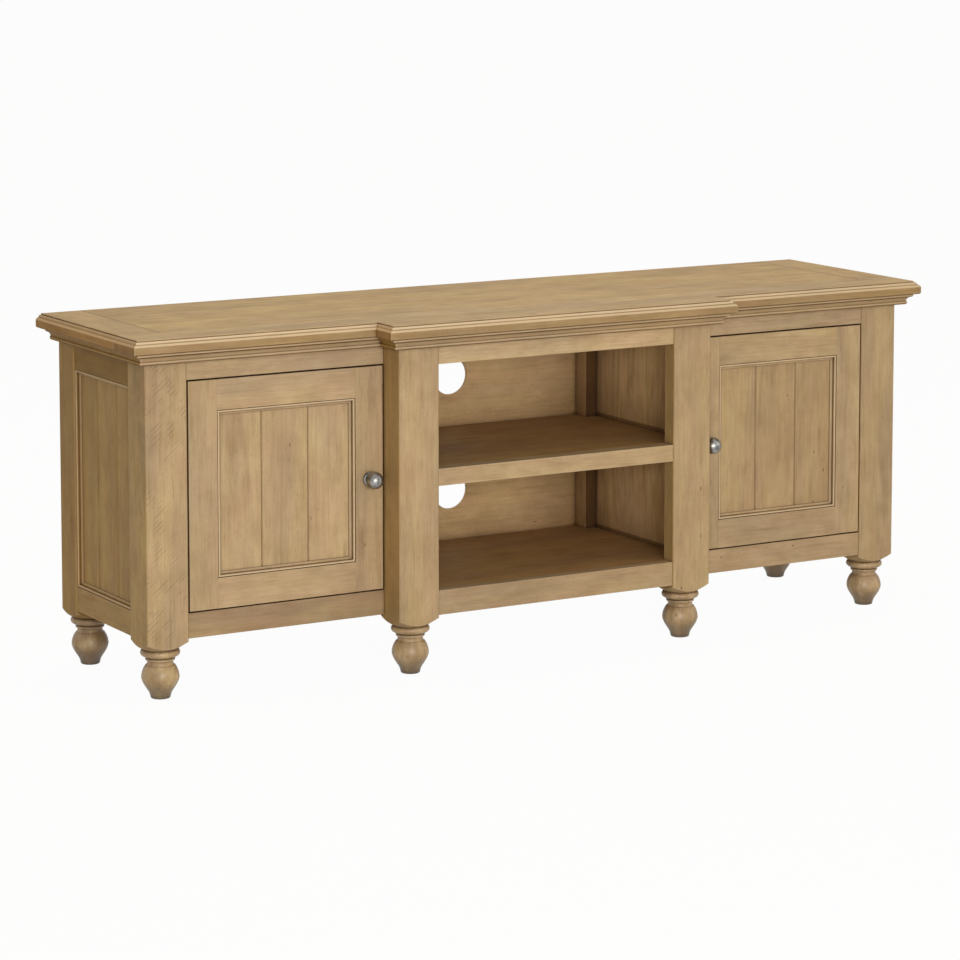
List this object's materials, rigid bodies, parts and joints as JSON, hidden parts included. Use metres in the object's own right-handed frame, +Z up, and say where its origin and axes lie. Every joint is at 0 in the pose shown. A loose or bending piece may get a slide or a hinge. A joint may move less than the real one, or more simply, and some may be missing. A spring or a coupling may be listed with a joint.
{
  "type": "tv unit",
  "caption": "Breakfront wooden media cabinet on turned feet, with a panelled hinged door on each side of an open centre bay with a shelf and a moulded plank top.",
  "frame": {"origin": "on the floor, under the middle of the top's length and depth", "axes": "+X to the right along the front as seen from the front, +Y from front to back, +Z up"},
  "size_m": [1.6, 0.46, 0.614],
  "materials": {
    "knob_metal": "dark pewter, dull with worn bright edges",
    "hinge_steel": "nickel-plated steel",
    "door_wood": "waxed weathered light-brown wood with dark glaze in the grooves",
    "post_wood": "waxed weathered light-brown wood with rough-saw marks",
    "top_wood": "waxed weathered light-brown wood",
    "side_wood": "waxed weathered light-brown wood",
    "frame_wood": "waxed weathered light-brown wood",
    "shelf_wood": "waxed weathered light-brown wood",
    "inner_wood": "plain brown wood, matt"
  },
  "bodies": {
    "carcass": {"back_panel_centre": "inner_wood", "back_panels_side": "inner_wood", "bottom_board_centre": "shelf_wood", "bottom_rail_centre": "frame_wood", "bottom_rail_left": "frame_wood", "bottom_rail_right": "frame_wood", "centre_feet": "post_wood", "centre_shelf": "shelf_wood", "centre_shelf_lip": "shelf_wood", "cornice_moulding": "top_wood", "cupboard_bottom_left": "inner_wood", "cupboard_bottom_right": "inner_wood", "cupboard_shelves": "inner_wood", "door_stops": "inner_wood", "front_centre_post_left": "post_wood", "front_centre_post_right": "post_wood", "front_corner_post_left": "post_wood", "front_corner_post_right": "post_wood", "front_feet": "post_wood", "hinge_arms": "hinge_steel", "hinge_plates": "hinge_steel", "partition_left": "inner_wood", "partition_right": "inner_wood", "rear_centre_post_left": "post_wood", "rear_centre_post_right": "post_wood", "rear_corner_post_left": "post_wood", "rear_corner_post_right": "post_wood", "rear_feet": "post_wood", "rear_rails": "inner_wood", "shelf_cleats": "inner_wood", "side_boards_left": "side_wood", "side_boards_right": "side_wood", "side_bottom_rail_left": "side_wood", "side_bottom_rail_right": "side_wood", "side_moulding_left": "side_wood", "side_moulding_right": "side_wood", "side_top_rail_left": "side_wood", "side_top_rail_right": "side_wood", "top_end_board_left": "top_wood", "top_end_board_right": "top_wood", "top_field_boards": "top_wood", "top_front_board": "top_wood", "top_rail_centre": "frame_wood", "top_rail_left": "frame_wood", "top_rail_right": "frame_wood"},
    "left_door": {"left_door_boards": "door_wood", "left_door_hinge_cups": "hinge_steel", "left_door_hinge_stile": "door_wood", "left_door_knob": "knob_metal", "left_door_lock_stile": "door_wood", "left_door_moulding": "door_wood", "left_door_rails": "door_wood"},
    "right_door": {"right_door_boards": "door_wood", "right_door_hinge_cups": "hinge_steel", "right_door_hinge_stile": "door_wood", "right_door_knob": "knob_metal", "right_door_lock_stile": "door_wood", "right_door_moulding": "door_wood", "right_door_rails": "door_wood"}
  },
  "joints": [
    {"name": "left_door_hinge", "type": "hinge", "parent": "carcass", "child": "left_door", "pos_m": [-0.69, -0.1418, 0.3415], "axis": [0, 0, -1], "range_deg": [0, 95]},
    {"name": "right_door_hinge", "type": "hinge", "parent": "carcass", "child": "right_door", "pos_m": [0.69, -0.1418, 0.3415], "axis": [0, 0, 1], "range_deg": [0, 95]}
  ]
}
